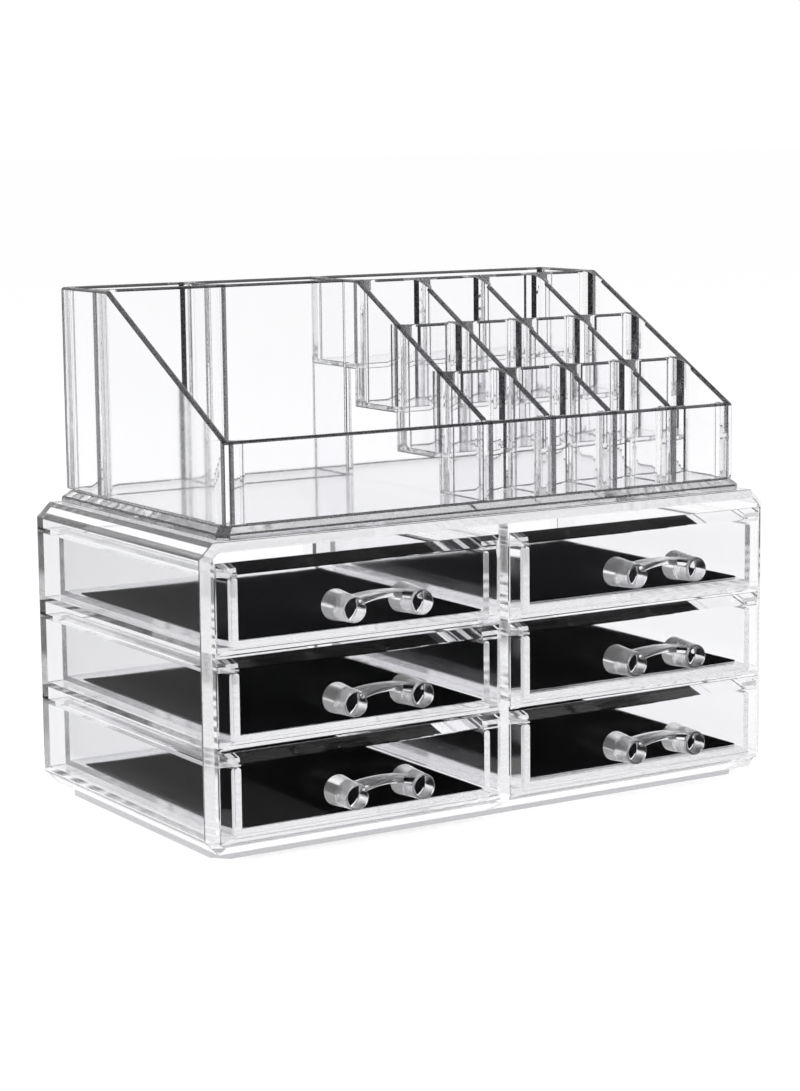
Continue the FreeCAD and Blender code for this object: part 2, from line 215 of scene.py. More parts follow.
# %% [markdown]
# The mouldings are welded from copies of the solids. Two clear solids that only touch would show a
# seam, because light crosses both faces. A Boolean union makes one skin around them all, as the mould
# does. A loaded mesh is loose triangles, so each copy has its doubles merged before it is used.

# %% Welding helpers
MERGE = 1e-6


def copy_of(node):
    mesh = nodes[node].data.copy()
    work = bmesh.new()
    work.from_mesh(mesh)
    bmesh.ops.remove_doubles(work, verts=work.verts, dist=MERGE)
    work.to_mesh(mesh)
    work.free()
    return mesh


def as_object(name, mesh):
    made = bpy.data.objects.new(name, mesh)
    scene.collection.objects.link(made)
    return made


def evaluated_mesh(thing, name):
    """The mesh that an object's modifiers give. The object itself is removed."""
    bpy.context.view_layer.update()
    ready = thing.evaluated_get(bpy.context.evaluated_depsgraph_get())
    mesh = bpy.data.meshes.new_from_object(ready)
    mesh.name = name
    bpy.data.objects.remove(thing)
    return mesh


def weld(name, meshes):
    """One closed skin around all the meshes."""
    operands = bpy.data.collections.new(name + "_operands")
    scene.collection.children.link(operands)
    first = as_object(name, meshes[0])
    for number, mesh in enumerate(meshes[1:]):
        operands.objects.link(bpy.data.objects.new("%s_%d" % (name, number), mesh))
    union = first.modifiers.new("union", "BOOLEAN")
    union.operation = "UNION"
    union.operand_type = "COLLECTION"
    union.collection = operands
    union.solver = "EXACT"
    skin = evaluated_mesh(first, name)
    for part in list(operands.objects):
        bpy.data.objects.remove(part)
    bpy.data.collections.remove(operands)
    return skin


print("welding helpers ready")

# %% [markdown]
# No mould makes a sharp corner, and in glass it is the small round along an edge that draws the line
# around a wall. A bevel on the finished weld would meet hundreds of awkward corners. So each plate is
# beveled alone, where it is still a simple prism, and welded afterwards. Loaded triangles are joined
# into whole faces first, because a bevel needs real edges.

# %% Plate helpers
FLAT_ENOUGH = 0.002
LOOKS_UP = 0.25
RIM_ROUND = 1.05 * MM
ROUND_STEPS = 3
CREASE = math.radians(32)
ROOM = 4.5


def whole_faces(mesh):
    work = bmesh.new()
    work.from_mesh(mesh)
    bmesh.ops.dissolve_limit(work, angle_limit=FLAT_ENOUGH, verts=work.verts, edges=work.edges)
    work.to_mesh(mesh)
    work.free()
    return mesh


def width_of(mesh, face):
    """About how wide a long face is: twice its area over its outline."""
    around = sum((mesh.vertices[a].co - mesh.vertices[b].co).length for a, b in face.edge_keys)
    return 2.0 * face.area / around


def grey_rims(mesh, widest):
    """Gives the narrow faces that look upward, the ends of the walls, the rim material with its tint of
    painted shade.
    """
    mesh.materials.clear()
    for finish in (acrylic, painted_shade_rim_acrylic, painted_mid_shade_acrylic):
        mesh.materials.append(finish)
    for face in mesh.polygons:
        rim = face.normal.z > LOOKS_UP and width_of(mesh, face) < widest
        face.material_index = SHADED_RIM if rim else FACE
    return mesh


def round_edges(mesh, width, finish):
    """Bevels the outer edges that have room for it: the rims by their own width, the rest less."""
    work = bmesh.new()
    work.from_mesh(mesh)
    outer = [edge.is_convex for edge in work.edges]
    work.free()
    sides = {}
    for face in mesh.polygons:
        for key in face.edge_keys:
            sides.setdefault(key, []).append(face)
    weights = mesh.attributes.new("bevel_weight_edge", "FLOAT", "EDGE")
    for edge in mesh.edges:
        one, two = sides[edge.key]
        sharp = one.normal.dot(two.normal) < math.cos(CREASE)
        room = min(width_of(mesh, one), width_of(mesh, two)) > ROOM * width
        share = 1.0 if SHADED_RIM in (one.material_index, two.material_index) else width / RIM_ROUND
        weights.data[edge.index].value = share if sharp and outer[edge.index] and room else 0.0
    holder = as_object("edges", mesh)
    bevel = holder.modifiers.new("edge_round", "BEVEL")
    bevel.width = RIM_ROUND
    bevel.segments = ROUND_STEPS
    bevel.limit_method = "WEIGHT"
    bevel.use_clamp_overlap = False
    # The rounded edges take the given material: for the tray the rim's painted shade, for the case the
    # lighter painted shade.
    bevel.material = finish
    return evaluated_mesh(holder, mesh.name)


def plate_of(node, widest_rim, edge, finish):
    return round_edges(grey_rims(whole_faces(copy_of(node)), widest_rim), edge, finish)


def report_mesh(mesh):
    work = bmesh.new()
    work.from_mesh(mesh)
    loose = sum(1 for edge in work.edges if not edge.is_manifold)
    triangles = sum(len(face.verts) - 2 for face in work.faces)
    volume = round(work.calc_volume() * 1e6, 2)
    print(mesh.name, "triangles", triangles, "open edges", loose, "volume cm3", volume)
    work.free()


print("plate helpers ready")

# %% [markdown]
# Every clear piece ends the same way: it is put into the scene, rides on its body and stands for its
# solids. One function keeps that in one place.

# %% Handing a clear piece over


def hand_over(name, mesh, body, *replaced):
    report_mesh(mesh)
    piece = as_object(name, mesh)
    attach(piece, body)
    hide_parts(*replaced)
    return piece


print("hand over ready")

# %% [markdown]
# The case is one moulding: the sleeve with its closed back, the plinth, the divider down the middle,
# the shelves that carry the drawers and the thin rails that hold them down. Modelling it again by
# hand would only copy the solids, so the solids are welded. Only the sleeve and the plinth get rounded
# edges, because light that is caught inside the walls would repeat every inner edge as a row of ticks.
# No face of the case is narrow enough to count as a rim.

# %% Case
CASE_RIM, CASE_EDGE = 0.1 * MM, 0.3 * MM
UPRIGHT = 0.5
case_plates = []
for node in bodies["case"]:
    plate = grey_rims(whole_faces(copy_of(node)), CASE_RIM)
    # The plinth's upright faces and the rounded edges of the sleeve and the plinth take the lighter grey
    # tint, painted shade for the dark lines along the foot.
    if node == "case_plinth":
        for face in plate.polygons:
            face.material_index = MID_SHADE if abs(face.normal.z) < UPRIGHT else FACE
    if node in ("case_shell", "case_plinth"):
        plate = round_edges(plate, CASE_EDGE, MID_SHADE)
    case_plates.append(plate)
hand_over("case_moulding", weld("case_moulding", case_plates), "case", *bodies["case"])

# %% [markdown]
# The tray is a grid of cells and bays, and in their corners the walls run into one another with a small
# hollow round, where the mould lets the tool slip out. Sixty such rounds are a job for Geometry Nodes:
# one prism is set on a point in each corner, turned into it, and stretched to the wall beside it. First
# comes the prism, a square with a quarter circle cut out of it.

# %% Corner prism
ROUND = 6.4 * MM
SUNK = 0.6 * MM
ARC_STEPS = 10


def corner_prism():
    outline = [(-SUNK, -SUNK), (ROUND, -SUNK), (ROUND, 0.0)]
    for step in range(1, ARC_STEPS + 1):
        angle = math.radians(-90 - 90 // ARC_STEPS * step)
        outline.append((ROUND + ROUND * math.cos(angle), ROUND + ROUND * math.sin(angle)))
    outline.append((-SUNK, ROUND))
    work = bmesh.new()
    foot = [work.verts.new((x, y, 0.0)) for x, y in outline]
    head = [work.verts.new((x, y, 1.0)) for x, y in outline]
    work.faces.new(list(reversed(foot)))
    work.faces.new(head)
    for one in range(len(outline)):
        two = (one + 1) % len(outline)
        work.faces.new([foot[one], foot[two], head[two], head[one]])
    mesh = bpy.data.meshes.new("corner_prism")
    bmesh.ops.recalc_face_normals(work, faces=work.faces)
    work.to_mesh(mesh)
    work.free()
    return mesh


prism = as_object("corner_prism", corner_prism())
print("prism corners", len(prism.data.vertices))

# %% [markdown]
# The points come from the solids themselves: each cell is named by the four walls around it, the floor
# under it and the quarters that get a round. Each point keeps the quarter turn of its corner and the
# height up to the wall that it leans on, as two attributes that the node tree reads by name.

# %% Corner points
walls_x = ["rack_left_wall", "rack_divider_1", "rack_divider_2", "rack_divider_3", "tray_right_wall"]
walls_y = ["tray_front_wall", "rack_row_front", "rack_row_rear", "rack_back_wall"]
floors = ["tray_base", "rack_floor_middle", "rack_floor_rear"]
ALL_FOUR, LEFT_TWO = (0, 1, 2, 3), (0, 3)
cells = [(left, right, near, far, under, ALL_FOUR) for left, right in zip(walls_x, walls_x[1:])
         for near, far, under in zip(walls_y, walls_y[1:], floors)]
cells += [("tray_left_wall", "bay_divider", "bay_partition", "tray_back_wall", "tray_base", ALL_FOUR),
          ("bay_divider", "rack_left_wall", "bay_partition", "tray_back_wall", "tray_base", LEFT_TWO),
          ("rack_left_wall", "tray_right_wall", "rack_back_wall", "tray_back_wall", "rack_floor_high",
           ALL_FOUR),
          ("tray_left_wall", "rack_left_wall", "tray_front_wall", "bay_partition", "tray_base", LEFT_TWO)]
spots, turns, heights = [], [], []
for left, right, near, far, under, quarters in cells:
    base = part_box(under)[1].z - SUNK
    for quarter in quarters:
        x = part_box(left)[1].x if quarter in LEFT_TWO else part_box(right)[0].x
        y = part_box(near)[1].y if quarter in (0, 1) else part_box(far)[0].y
        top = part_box(near if quarter in (0, 1) else far)[1].z
        spots.append((x, y, base))
        turns.append(quarter * math.pi / 2)
        heights.append(top - base)
point_mesh = bpy.data.meshes.new("rack_corner_points")
point_mesh.from_pydata(spots, [], [])
point_mesh.attributes.new("turn", "FLOAT", "POINT").data.foreach_set("value", turns)
point_mesh.attributes.new("tall", "FLOAT", "POINT").data.foreach_set("value", heights)
print("corner points", len(spots))

# %% [markdown]
# The tree sets the prisms, makes them real, and then cuts their tops down to the rack's slope: each
# point above the sloping plane is put onto it. A Boolean could do that too, but a height limit is one
# Set Position node and never fails. The slope is two named inputs, where it starts and how it climbs.

# %% Corner tree
tree = bpy.data.node_groups.new("rack_corners", "GeometryNodeTree")
tree.interface.new_socket("Geometry", in_out="OUTPUT", socket_type="NodeSocketGeometry")
sockets = {}
for label, kind in (("Geometry", "NodeSocketGeometry"), ("Prism", "NodeSocketObject"),
                    ("Slope Front", "NodeSocketFloat"), ("Slope Height", "NodeSocketFloat"),
                    ("Slope Climb", "NodeSocketFloat"), ("Finish", "NodeSocketMaterial")):
    sockets[label] = tree.interface.new_socket(label, in_out="INPUT", socket_type=kind).identifier
entry = tree.nodes.new("NodeGroupInput")
leave = tree.nodes.new("NodeGroupOutput")
shape = tree.nodes.new("GeometryNodeObjectInfo")
place = tree.nodes.new("GeometryNodeInstanceOnPoints")
solid = tree.nodes.new("GeometryNodeRealizeInstances")
limit = tree.nodes.new("GeometryNodeSetPosition")
dress = tree.nodes.new("GeometryNodeSetMaterial")


def named_value(label):
    node = tree.nodes.new("GeometryNodeInputNamedAttribute")
    node.data_type = "FLOAT"
    node.inputs["Name"].default_value = label
    return node.outputs["Attribute"]


turned = tree.nodes.new("ShaderNodeCombineXYZ")
stretched = tree.nodes.new("ShaderNodeCombineXYZ")
stretched.inputs["X"].default_value = 1.0
stretched.inputs["Y"].default_value = 1.0
tree.links.new(named_value("turn"), turned.inputs["Z"])
tree.links.new(named_value("tall"), stretched.inputs["Z"])
tree.links.new(entry.outputs["Prism"], shape.inputs["Object"])
tree.links.new(entry.outputs["Geometry"], place.inputs["Points"])
tree.links.new(shape.outputs["Geometry"], place.inputs["Instance"])
tree.links.new(turned.outputs[0], place.inputs["Rotation"])
tree.links.new(stretched.outputs[0], place.inputs["Scale"])
tree.links.new(place.outputs["Instances"], solid.inputs["Geometry"])
spot = tree.nodes.new("GeometryNodeInputPosition")
parts = tree.nodes.new("ShaderNodeSeparateXYZ")
tree.links.new(spot.outputs[0], parts.inputs[0])
run = math_node(tree, "SUBTRACT", parts.outputs["Y"], entry.outputs["Slope Front"])
climbed = math_node(tree, "MULTIPLY", run, entry.outputs["Slope Climb"])
slope = math_node(tree, "ADD", climbed, entry.outputs["Slope Height"])
lowered = tree.nodes.new("ShaderNodeCombineXYZ")
tree.links.new(parts.outputs["X"], lowered.inputs["X"])
tree.links.new(parts.outputs["Y"], lowered.inputs["Y"])
tree.links.new(math_node(tree, "MINIMUM", parts.outputs["Z"], slope), lowered.inputs["Z"])
tree.links.new(solid.outputs["Geometry"], limit.inputs["Geometry"])
tree.links.new(lowered.outputs[0], limit.inputs["Position"])
tree.links.new(limit.outputs["Geometry"], dress.inputs["Geometry"])
tree.links.new(entry.outputs["Finish"], dress.inputs["Material"])
tree.links.new(dress.outputs["Geometry"], leave.inputs["Geometry"])
print("tree", tree.name, "nodes", len(tree.nodes))

# %% [markdown]
# A modifier's inputs are set by the sockets' identifiers, before the object is first evaluated. The
# result is baked to a plain mesh, because it goes into the union with the rest of the tray.

# %% Corner rounds
front_low, front_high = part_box("tray_front_wall")
back_low, back_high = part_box("rack_back_wall")
holder = as_object("rack_corners", point_mesh)
grow = holder.modifiers.new("rack_corners", "NODES")
grow.node_group = tree
grow[sockets["Prism"]] = prism
grow[sockets["Slope Front"]] = front_low.y
grow[sockets["Slope Height"]] = front_high.z
grow[sockets["Slope Climb"]] = (back_high.z - front_high.z) / (back_low.y - front_low.y)
grow[sockets["Finish"]] = acrylic
corner_mesh = evaluated_mesh(holder, "rack_corners")
bpy.data.objects.remove(prism)
print("corner rounds", len(corner_mesh.polygons), "faces")

# %% [markdown]
# The tray is one moulding too: the base, the walls that slope down to the front, the bays at the back and
# the stepped rack. The corner rounds join the union. The narrow ends of the walls, which all look upward,
# and the rounded edges get the rim material, whose dark grey tint is painted shade. So does a thin line
# down the middle of each corner round, a painted dark streak where the hollow bends the view furthest.

# %% Tray
TRAY_RIM, TRAY_EDGE = 3.4 * MM, 0.25 * MM
STREAK = 0.6
tray_plates = [plate_of(node, TRAY_RIM, TRAY_EDGE, SHADED_RIM) for node in bodies["tray"]]
grey_rims(corner_mesh, TRAY_RIM)
for face in corner_mesh.polygons:
    if min(abs(face.normal.x), abs(face.normal.y)) > STREAK:
        face.material_index = SHADED_RIM
tray_plates.append(corner_mesh)
hand_over("tray_moulding", weld("tray_moulding", tray_plates), "tray", *bodies["tray"])

# %% [markdown]
# Each drawer is an open box behind a thick front with a bevelled rim. Its solid has the right shape
# already, so the drawers only get whole faces, rims with the painted shade tint and rounded edges, six
# times over.

# %% Drawer boxes
DRAWER_RIM, DRAWER_EDGE = 2.6 * MM, 0.3 * MM
for tag in drawer_tags:
    box_mesh = plate_of("drawer_" + tag, DRAWER_RIM, DRAWER_EDGE, FACE)
    box_mesh.name = "drawer_box_" + tag
    hand_over("drawer_box_" + tag, box_mesh, "drawer_body_" + tag, "drawer_" + tag)

# %% [markdown]
# A pull is two round posts with a bow between them. A post is turned work: its outline, from the wide
# foot on the drawer to the dished tip, is spun around its axis. bmesh has a spin operator, but writing
# the rings by hand closes the two poles and keeps the faces pointing outward.

# %% Pull posts
POST_APART = 26.6 * MM
POST_SIDES = 48
FOOT_RADIUS = 5.4
DISH_DEPTH = -13.7
post_outline = [(5.1, -0.05), (FOOT_RADIUS, -0.35), (5.33, -1.4), (5.12, -3.6), (4.9, -6.2), (4.72, -8.8),
                (4.58, -11.2), (4.5, -12.9), (4.42, -13.45), (4.2, -13.8), (3.85, -13.97), (3.5, -13.98),
                (2.6, -13.86), (1.3, -13.74)]


def turned_post(middle):
    """A post whose axis runs forward, at a place in X and Z."""
    work = bmesh.new()
    rings = []
    for radius, forward in post_outline:
        ring = []
        for step in range(POST_SIDES):
            angle = 2 * math.pi * step / POST_SIDES
            spot = (middle + radius * MM * math.cos(angle), forward * MM, radius * MM * math.sin(angle))
            ring.append(work.verts.new(spot))
        rings.append(ring)
    for near, far in zip(rings, rings[1:]):
        for one in range(POST_SIDES):
            two = (one + 1) % POST_SIDES
            work.faces.new([near[one], near[two], far[two], far[one]])
    work.faces.new(rings[0])
    tip = work.verts.new((middle, DISH_DEPTH * MM, 0.0))
    for one in range(POST_SIDES):
        work.faces.new([rings[-1][one], rings[-1][(one + 1) % POST_SIDES], tip])
    bmesh.ops.recalc_face_normals(work, faces=work.faces)
    mesh = bpy.data.meshes.new("pull_post")
    work.to_mesh(mesh)
    work.free()
    return mesh


print("post rings", len(post_outline))

# %% [markdown]
# The bow is a strap that rises in the middle and swells where it meets the posts. Its section is a
# rounded rectangle, a superellipse, which changes from end to end: both its edges follow arcs, the
# lower one more bent than the upper one. Lofting such sections is a loop over stations.

# %% Pull bow
LOW_END, LOW_RISE = -0.8 * MM, 3.0 * MM
HIGH_END, HIGH_RISE = 3.6 * MM, 1.3 * MM
BOW_FORWARD = -8.9 * MM
SQUARENESS = 0.6
BOW_STATIONS, BOW_SIDES = 40, 28


def arc_height(x, end, rise):
    """Height at x of an arc over the posts' spacing, from its height at the ends and its rise."""
    reach = POST_APART / 2
    radius = (reach ** 2 + rise ** 2) / (2 * rise)
    return end + rise - radius + math.sqrt(radius ** 2 - x ** 2)


def lofted_bow():
    work = bmesh.new()
    rings = []
    for station in range(BOW_STATIONS + 1):
        part = 2.0 * station / BOW_STATIONS - 1.0
        x = part * POST_APART / 2
        low = arc_height(x, LOW_END, LOW_RISE)
        high = arc_height(x, HIGH_END, HIGH_RISE)
        half_deep = (3.5 + 0.8 * abs(part) ** 2.5) * MM
        ring = []
        for step in range(BOW_SIDES):
            angle = 2 * math.pi * step / BOW_SIDES
            c, s = math.cos(angle), math.sin(angle)
            across = math.copysign(abs(c) ** SQUARENESS, c) * half_deep
            over = math.copysign(abs(s) ** SQUARENESS, s) * (high - low) / 2
            ring.append(work.verts.new((x, BOW_FORWARD + across, (high + low) / 2 + over)))
        rings.append(ring)
    for near, far in zip(rings, rings[1:]):
        for one in range(BOW_SIDES):
            two = (one + 1) % BOW_SIDES
            work.faces.new([near[one], near[two], far[two], far[one]])
    work.faces.new(rings[0])
    work.faces.new(rings[-1])
    bmesh.ops.recalc_face_normals(work, faces=work.faces)
    mesh = bpy.data.meshes.new("pull_bow")
    work.to_mesh(mesh)
    work.free()
    return mesh


print("bow rises to", round(arc_height(0.0, HIGH_END, HIGH_RISE) / MM, 2), "mm over the posts' axis")

# %% [markdown]
# The sides of a pull are turned and carry fine rings from the tool, so they scatter light and look
# whitish, while the tips and the feet are polished and clear. Part of the light is therefore kept from
# going through, and a wave texture along the posts' axis gives the rings as a shallow bump.

# %% Turned acrylic
RINGS_SCALE = 350.0
RING_STRENGTH, RING_DEPTH = 0.3, 0.0001
turned_acrylic = clear_plastic("clear_acrylic_turned", (0.97, 0.97, 0.98),
                               mirror=0.3, grain_level=0.1, haze=0.1, scratches=0.2, clearness=0.93)
tree = turned_acrylic.node_tree
shader = tree.nodes["Principled BSDF"]
rings = tree.nodes.new("ShaderNodeTexWave")
rings.bands_direction = "Y"
rings.inputs["Scale"].default_value = RINGS_SCALE
coordinates = tree.nodes.new("ShaderNodeTexCoord")
tree.links.new(coordinates.outputs["Object"], rings.inputs["Vector"])
ring_bump = tree.nodes.new("ShaderNodeBump")
ring_bump.inputs["Strength"].default_value = RING_STRENGTH
ring_bump.inputs["Distance"].default_value = RING_DEPTH
tree.links.new(rings.outputs["Fac"], ring_bump.inputs["Height"])
tree.links.new(shader.inputs["Normal"].links[0].from_socket, ring_bump.inputs["Normal"])
tree.links.new(ring_bump.outputs["Normal"], shader.inputs["Normal"])
print("material", turned_acrylic.name)

# %% [markdown]
# The two posts and the bow are welded once. Smooth shading with a limit on the angle keeps the turned
# sides round and the rim of the foot crisp. Each drawer then gets its own copy, moved in its mesh to
# the place that its solid gives, so that the object itself stays at the origin.

# %% Pulls
POLISHED, TURNED = 0, 1
FACES_FORWARD = 0.7
FOOT_GAP = 0.05 * MM
pull_mesh = weld("drawer_pull", [turned_post(-POST_APART / 2), turned_post(POST_APART / 2), lofted_bow()])
pull_mesh.materials.clear()
pull_mesh.materials.append(acrylic)
pull_mesh.materials.append(turned_acrylic)
for face in pull_mesh.polygons:
    face.material_index = TURNED if abs(face.normal.y) < FACES_FORWARD else POLISHED
pull_mesh.shade_smooth()
pull_mesh.set_sharp_from_angle(angle=CREASE)
for tag in drawer_tags:
    low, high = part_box("pull_" + tag)
    copy = pull_mesh.copy()
    copy.name = "drawer_pull_" + tag
    seat = ((low.x + high.x) / 2, high.y + FOOT_GAP, low.z + FOOT_RADIUS * MM)
    copy.transform(Matrix.Translation(seat))
    hand_over("drawer_pull_" + tag, copy, "drawer_body_" + tag, "pull_" + tag)

# %% [markdown]
# The liners are loose pieces of black mesh cloth. The weave is far too fine to model, so it is a bump:
# two wave textures across each other, on Object coordinates, with an even pitch of under a millimetre.
# Cloth also has a soft sheen at a flat angle, dust and uneven dye, which a slow noise gives, and painted
# shade in the gaps between the threads, where the weave is low.

# %% Liner cloth
THREAD_SCALE, THREAD_WANDER = 350.0, 0.4
WEAVE_STRENGTH, WEAVE_DEPTH = 0.5, 0.0002
DARK_DYE_AND_GAP_SHADE, DYE_LIGHT = (0.001, 0.001, 0.0012, 1.0), (0.004, 0.004, 0.005, 1.0)
cloth = bpy.data.materials.new("liner_cloth")
cloth.use_nodes = True
tree = cloth.node_tree
shader = tree.nodes["Principled BSDF"]
shader.inputs["Roughness"].default_value = 0.9
shader.inputs["Specular IOR Level"].default_value = 0.03
shader.inputs["Sheen Weight"].default_value = 0.01
shader.inputs["Sheen Roughness"].default_value = 0.4
coordinates = tree.nodes.new("ShaderNodeTexCoord")
threads = []
for direction in ("X", "Y"):
    wave = tree.nodes.new("ShaderNodeTexWave")
    wave.bands_direction = direction
    wave.inputs["Scale"].default_value = THREAD_SCALE
    wave.inputs["Distortion"].default_value = THREAD_WANDER
    tree.links.new(coordinates.outputs["Object"], wave.inputs["Vector"])
    threads.append(wave.outputs["Fac"])
weave = math_node(tree, "MAXIMUM", threads[0], threads[1])
bump = tree.nodes.new("ShaderNodeBump")
bump.inputs["Strength"].default_value = WEAVE_STRENGTH
bump.inputs["Distance"].default_value = WEAVE_DEPTH
tree.links.new(weave, bump.inputs["Height"])
tree.links.new(bump.outputs["Normal"], shader.inputs["Normal"])
dye_and_gap_shade = tree.nodes.new("ShaderNodeValToRGB")
dye_and_gap_shade.color_ramp.elements[0].color = DARK_DYE_AND_GAP_SHADE
dye_and_gap_shade.color_ramp.elements[1].color = DYE_LIGHT
patches = noise_on_object(tree, scale=40.0, stretch=EVEN, turn=(0.0, 0.0, 0.4))
# The dye noise is multiplied by the weave, so the gaps between the threads are darker: that part is painted
# shade.
tree.links.new(math_node(tree, "MULTIPLY", patches, weave), dye_and_gap_shade.inputs["Fac"])
tree.links.new(dye_and_gap_shade.outputs["Color"], shader.inputs["Base Color"])
print("material", cloth.name)

# %% [markdown]
# A liner lies flat, but cloth is never as flat as a plate: it waves by a tenth of a millimetre or so
# and its rear corners lift a little. A grid with noise gives that, and Solidify gives it a thickness.
# The cloth is cut short, so that a strip of bare floor shows behind it, and in the right column it was
# pushed further back. The noise is read at the place in the drawer, so it is the same in every run.

# %% Liners
BARE = 6.5 * MM
PUSHED_BACK = 4.0 * MM
WAVES, CLEAR_OF_FLOOR = 0.06, 0.16
CORNER, CORNER_LIFT = 0.38, 18.0
CLOTH_THICK = 0.5 * MM
for number, tag in enumerate(drawer_tags):
    low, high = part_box("liner_" + tag)
    high.y -= BARE
    if tag.endswith("right"):
        low.y += PUSHED_BACK
        high.y += PUSHED_BACK
    work = bmesh.new()
    bmesh.ops.create_grid(work, x_segments=48, y_segments=58, size=0.5)
    for vert in work.verts:
        u, v = vert.co.x, vert.co.y
        wave_here = noise.noise(Vector((u * 5.0, v * 6.0, 3.7 * number)))
        lift = max(0.0, abs(u) - CORNER) * max(0.0, v - CORNER) * CORNER_LIFT
        vert.co.x = (low.x + high.x) / 2 + u * (high.x - low.x)
        vert.co.y = (low.y + high.y) / 2 + v * (high.y - low.y)
        vert.co.z = low.z + (WAVES * wave_here + CLEAR_OF_FLOOR + lift) * MM
    mesh = bpy.data.meshes.new("liner_cloth_" + tag)
    work.to_mesh(mesh)
    work.free()
    mesh.materials.append(cloth)
    holder = as_object("liner_work", mesh)
    thick = holder.modifiers.new("thickness", "SOLIDIFY")
    thick.thickness = CLOTH_THICK
    thick.offset = 1.0
    liner_mesh = evaluated_mesh(holder, "liner_cloth_" + tag)
    liner_mesh.shade_smooth()
    liner_mesh.set_sharp_from_angle(angle=math.radians(40))
    report_mesh(liner_mesh)
    liner = as_object("liner_cloth_" + tag, liner_mesh)
    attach(liner, "drawer_body_" + tag)
    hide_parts("liner_" + tag)

# %% [markdown]
# The stage is a white floor and a soft white room. Light goes through dozens of faces here, so the
# number of bounces has to be high, or the thick corners turn black for no reason. The floor is plain
# white paint for the light that it gives back. Camera, mirror and glass rays see it as a glowing
# white with the object's shadow still on it.

# %% Floor
scene.view_settings.view_transform = "Standard"
scene.cycles.max_bounces = 96
scene.cycles.transmission_bounces = 64
scene.cycles.glossy_bounces = 80
scene.cycles.transparent_max_bounces = 40
REACH = 30.0
floor_mesh = bpy.data.meshes.new("floor")
floor_corners = [(-REACH, -REACH, 0), (REACH, -REACH, 0), (REACH, REACH, 0), (-REACH, REACH, 0)]
floor_mesh.from_pydata(floor_corners, [], [(0, 1, 2, 3)])
floor = as_object("floor", floor_mesh)
white = bpy.data.materials.new("white_floor")
white.use_nodes = True
tree = white.node_tree
tree.nodes.clear()
out = tree.nodes.new("ShaderNodeOutputMaterial")
plain = tree.nodes.new("ShaderNodeBsdfDiffuse")
plain.inputs["Color"].default_value = (0.8, 0.8, 0.8, 1)
seen = tree.nodes.new("ShaderNodeBsdfDiffuse")
seen.inputs["Color"].default_value = (0.3, 0.3, 0.3, 1)
glow = tree.nodes.new("ShaderNodeEmission")
glow.inputs["Strength"].default_value = 0.8
both = tree.nodes.new("ShaderNodeAddShader")
tree.links.new(seen.outputs[0], both.inputs[0])
tree.links.new(glow.outputs[0], both.inputs[1])
path = tree.nodes.new("ShaderNodeLightPath")
bent = math_node(tree, "MAXIMUM", path.outputs["Is Glossy Ray"], path.outputs["Is Transmission Ray"])
looks = math_node(tree, "MAXIMUM", path.outputs["Is Camera Ray"], bent)
mix = tree.nodes.new("ShaderNodeMixShader")
tree.links.new(looks, mix.inputs[0])
tree.links.new(plain.outputs[0], mix.inputs[1])
tree.links.new(both.outputs[0], mix.inputs[2])
tree.links.new(mix.outputs[0], out.inputs["Surface"])
floor.data.materials.append(white)
print("floor", 2 * REACH, "m wide")

# %% [markdown]
# A clear object in an all white room would vanish. Photographers keep the backdrop white and the room
# in front of it dim, and the dim half is what the edges bend into view. The world does the same with
# a soft fade along the direction that the camera looks in, and it is white to the camera itself.

# %% World
LOOK_X, LOOK_Y = 0.53, 0.848
world = bpy.data.worlds.new("studio")
scene.world = world
world.use_nodes = True
tree = world.node_tree
tree.nodes.clear()
out = tree.nodes.new("ShaderNodeOutputWorld")
back = tree.nodes.new("ShaderNodeBackground")
back.inputs["Color"].default_value = (1, 1, 1, 1)
coordinates = tree.nodes.new("ShaderNodeTexCoord")
split = tree.nodes.new("ShaderNodeSeparateXYZ")
tree.links.new(coordinates.outputs["Generated"], split.inputs[0])
away = math_node(tree, "ADD", math_node(tree, "MULTIPLY", split.outputs["X"], LOOK_X),
                 math_node(tree, "MULTIPLY", split.outputs["Y"], LOOK_Y))
fade = tree.nodes.new("ShaderNodeMapRange")
fade.interpolation_type = "SMOOTHSTEP"
for label, number in (("From Min", -0.25), ("From Max", 0.35), ("To Min", 0.3), ("To Max", 1.0)):
    fade.inputs[label].default_value = number
tree.links.new(away, fade.inputs["Value"])
path = tree.nodes.new("ShaderNodeLightPath")
strength = math_node(tree, "MAXIMUM", fade.outputs["Result"], path.outputs["Is Camera Ray"])
tree.links.new(strength, back.inputs["Strength"])
tree.links.new(back.outputs[0], out.inputs["Surface"])
print("world", world.name)

# %% [markdown]
# Flat walls mirror the white table beside them, and that mirror image would lie over the black liners
# as a grey veil. A photographer lays dark flags there. These show only to light that was mirrored on one
# of the first walls, which the two depths of the Light Path node count. So looking straight through
# the object, or along inside its plates, still finds the white table.

# %% Dark flags
FIRST_MIRROR, LAST_WALL = 0.5, 6.5


def flag_finish(name, level):
    material = bpy.data.materials.new(name)
    material.use_nodes = True
    tree = material.node_tree
    tree.nodes.clear()
    out = tree.nodes.new("ShaderNodeOutputMaterial")
    card = tree.nodes.new("ShaderNodeEmission")
    card.inputs["Strength"].default_value = level
    clear = tree.nodes.new("ShaderNodeBsdfTransparent")
    path = tree.nodes.new("ShaderNodeLightPath")
    mix = tree.nodes.new("ShaderNodeMixShader")
    mirrored = math_node(tree, "GREATER_THAN", path.outputs["Glossy Depth"], FIRST_MIRROR)
    early = math_node(tree, "LESS_THAN", path.outputs["Transmission Depth"], LAST_WALL)
    tree.links.new(math_node(tree, "MULTIPLY", mirrored, early), mix.inputs[0])
    tree.links.new(clear.outputs[0], mix.inputs[1])
    tree.links.new(card.outputs[0], mix.inputs[2])
    tree.links.new(mix.outputs[0], out.inputs["Surface"])
    return material


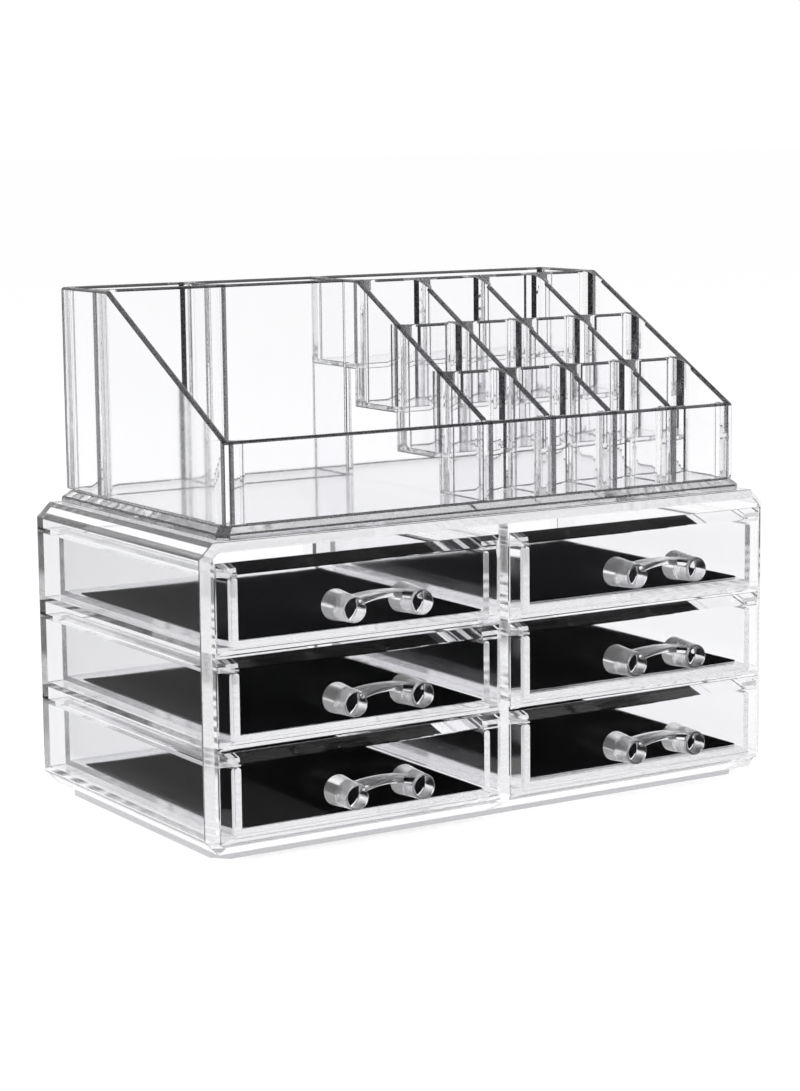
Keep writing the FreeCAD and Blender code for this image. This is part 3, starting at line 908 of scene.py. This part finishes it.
def lay_flag(name, level, x0, x1, y0, y1):
    flag_mesh = bpy.data.meshes.new(name)
    corners = [(x0, y0, MM), (x1, y0, MM), (x1, y1, MM), (x0, y1, MM)]
    flag_mesh.from_pydata(corners, [], [(0, 1, 2, 3)])
    flag_mesh.materials.append(flag_finish(name, level))
    flag = as_object(name, flag_mesh)
    flag.visible_camera = False
    flag.visible_diffuse = False
    flag.visible_shadow = False
    print(name, "laid")


lay_flag("flag_left", 0.13, x0=-0.48, x1=-0.135, y0=-0.05, y1=0.9)
lay_flag("flag_front", 0.02, x0=-0.05, x1=0.5, y0=-0.75, y1=-0.1)

# %% [markdown]
# One soft lamp from above on the left gives the floor its faint shadow and the cloth its light. Its
# power is set so that a colour comes out about as it is written.

# %% Lamp
LAMP_SIZE, LAMP_POWER = 0.8, 14.0
LAMP_AT, LAMP_AIM = Vector((-0.6, -0.5, 1.5)), Vector((0, 0, 0.09))
lamp_data = bpy.data.lights.new("key", "AREA")
lamp_data.shape = "RECTANGLE"
lamp_data.size = LAMP_SIZE
lamp_data.size_y = LAMP_SIZE
lamp_data.energy = LAMP_POWER
lamp = bpy.data.objects.new("key", lamp_data)
scene.collection.objects.link(lamp)
lamp.location = LAMP_AT
lamp.rotation_euler = (LAMP_AIM - lamp.location).to_track_quat("-Z", "Y").to_euler()
print("lamp", lamp_data.energy, "W")

# %% [markdown]
# The camera stands where the photograph was taken from: a good metre away, to the left of the front and
# a little above. The picture is 800 pixels wide, and the lens is given as its length in pixels over
# that width. The three rows of the turn are the picture's right, its up and the way back to the lens.

# %% Camera
AZ, EL, ROLL = math.radians(-32.076), math.radians(8.661), math.radians(-0.615)
CAMERA_AT = Vector((-526.1, -836.0, 241.0)) * MM
LENS_PIXELS, PICTURE_WIDTH, SENSOR = 2679.8, 800.0, 36.0
behind = Vector((math.sin(AZ) * math.cos(EL), -math.cos(AZ) * math.cos(EL), math.sin(EL)))
right = (-behind).cross(Vector((0, 0, 1))).normalized()
up = right.cross(-behind)
row_x = math.cos(ROLL) * right + math.sin(ROLL) * up
row_y = -math.sin(ROLL) * right + math.cos(ROLL) * up
lens = bpy.data.cameras.new("camera")
lens.sensor_fit = "HORIZONTAL"
lens.sensor_width = SENSOR
lens.lens = LENS_PIXELS / PICTURE_WIDTH * SENSOR
lens.clip_start = 0.01
lens.clip_end = 200.0
camera = bpy.data.objects.new("camera", lens)
scene.collection.objects.link(camera)
turn = Matrix((row_x, row_y, behind)).transposed().to_4x4()
camera.matrix_world = Matrix.Translation(CAMERA_AT) @ turn
scene.camera = camera
print("camera at", [round(v, 4) for v in camera.location])
